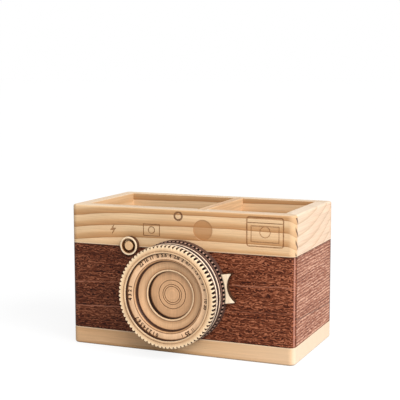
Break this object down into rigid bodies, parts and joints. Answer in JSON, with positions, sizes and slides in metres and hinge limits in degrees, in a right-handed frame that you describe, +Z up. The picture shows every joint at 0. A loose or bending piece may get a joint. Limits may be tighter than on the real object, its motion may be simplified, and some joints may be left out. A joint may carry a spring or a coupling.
{
  "type": "pen holder",
  "caption": "Free-standing wooden pen holder shaped like a small camera: open compartments with a divider, and a turning lens with a finger tab on the front.",
  "frame": {"origin": "middle of the base board's underside, on the desk", "axes": "+X to the right seen from the front, +Y to the back, +Z up; the lens faces -Y"},
  "size_m": [0.1574, 0.105, 0.095],
  "materials": {
    "pine": "clear satin oil on pale pine",
    "dark_wood": "clear satin oil on red-brown hardwood",
    "lens_pine": "turned and cut pine, walls scorched brown",
    "steel": "plain zinc plated"
  },
  "bodies": {
    "box": {"base_board": "pine", "front_rail": "pine", "rear_rail": "pine", "left_rail": "pine", "right_rail": "pine", "divider": "pine", "button_collar": "pine", "button_plug": "pine", "front_band": "dark_wood", "rear_band": "dark_wood", "left_band": "dark_wood", "right_band": "dark_wood"},
    "lens": {"tab_ring": "lens_pine", "rear_tooth_ring": "lens_pine", "barrel": "lens_pine", "front_tooth_ring": "lens_pine", "number_ring": "lens_pine", "step_ring": "lens_pine", "lens_disc": "lens_pine", "pivot_screw": "steel", "pivot_washer": "steel"}
  },
  "joints": [
    {"name": "lens_turn", "type": "hinge", "parent": "box", "child": "lens", "pos_m": [0.00046, -0.04185, 0.04178], "axis": [0, -1, 0], "range_deg": [-205, 110]}
  ]
}
